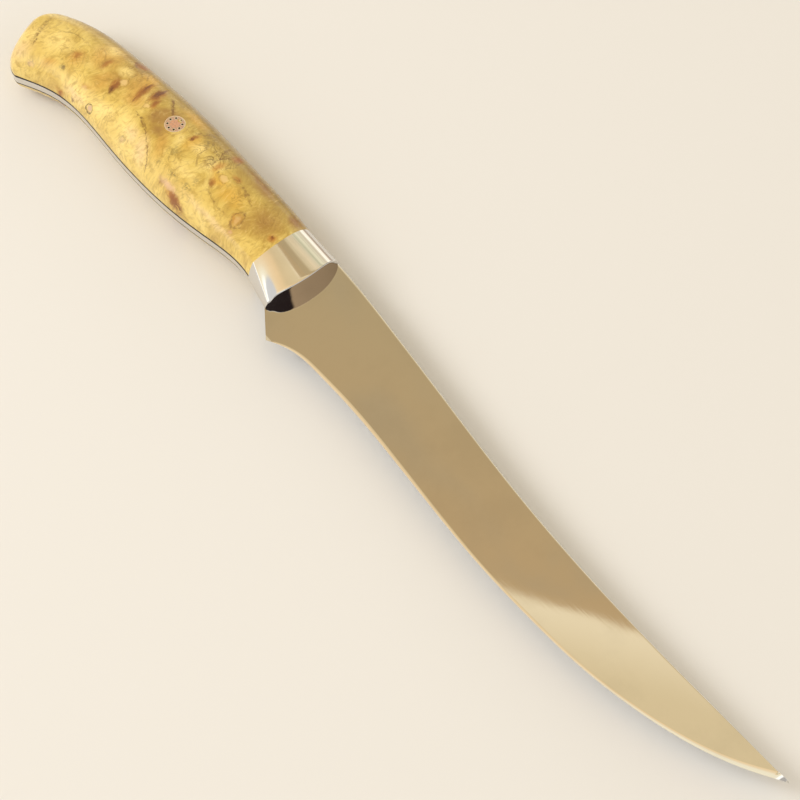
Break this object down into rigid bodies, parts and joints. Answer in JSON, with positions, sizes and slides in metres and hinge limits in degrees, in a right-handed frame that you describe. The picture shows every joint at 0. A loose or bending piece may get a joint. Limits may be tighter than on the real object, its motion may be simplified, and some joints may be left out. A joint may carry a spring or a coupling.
{
  "type": "fillet knife",
  "caption": "Full-tang fillet knife with a long upswept blade, a dropped heel corner, a polished bolster and a curved burl wood handle with a mosaic pin.",
  "frame": {"origin": "under the middle of the knife's overall box as it lies on its left side, at the level of the handle's lowest side", "axes": "+X along the knife from butt to tip, +Y from the cutting edge and handle belly to the spine, +Z through the thickness from the left side to the right side"},
  "size_m": [0.3419, 0.035, 0.0178],
  "materials": {
    "blade_steel": "mirror polished",
    "bolster_steel": "mirror polished",
    "liner_fibre": "sanded vulcanised fibre",
    "burl_wood": "stabilised burl, buffed to a soft gloss",
    "pin_tube_metal": "polished flush",
    "pin_copper": "polished flush",
    "pin_resin": "dark cast resin, polished flush",
    "hidden_pin_steel": "plain"
  },
  "bodies": {
    "root": {"blade_and_tang": "blade_steel", "bolster_right": "bolster_steel", "bolster_left": "bolster_steel", "bolster_pins": "bolster_steel", "liner_right": "liner_fibre", "liner_left": "liner_fibre", "handle_scale_right": "burl_wood", "handle_scale_left": "burl_wood", "mosaic_pin_tube": "pin_tube_metal", "mosaic_ring_tubes": "pin_tube_metal", "mosaic_center_rods": "pin_copper", "mosaic_resin": "pin_resin", "blind_pins": "hidden_pin_steel"}
  },
  "joints": []
}
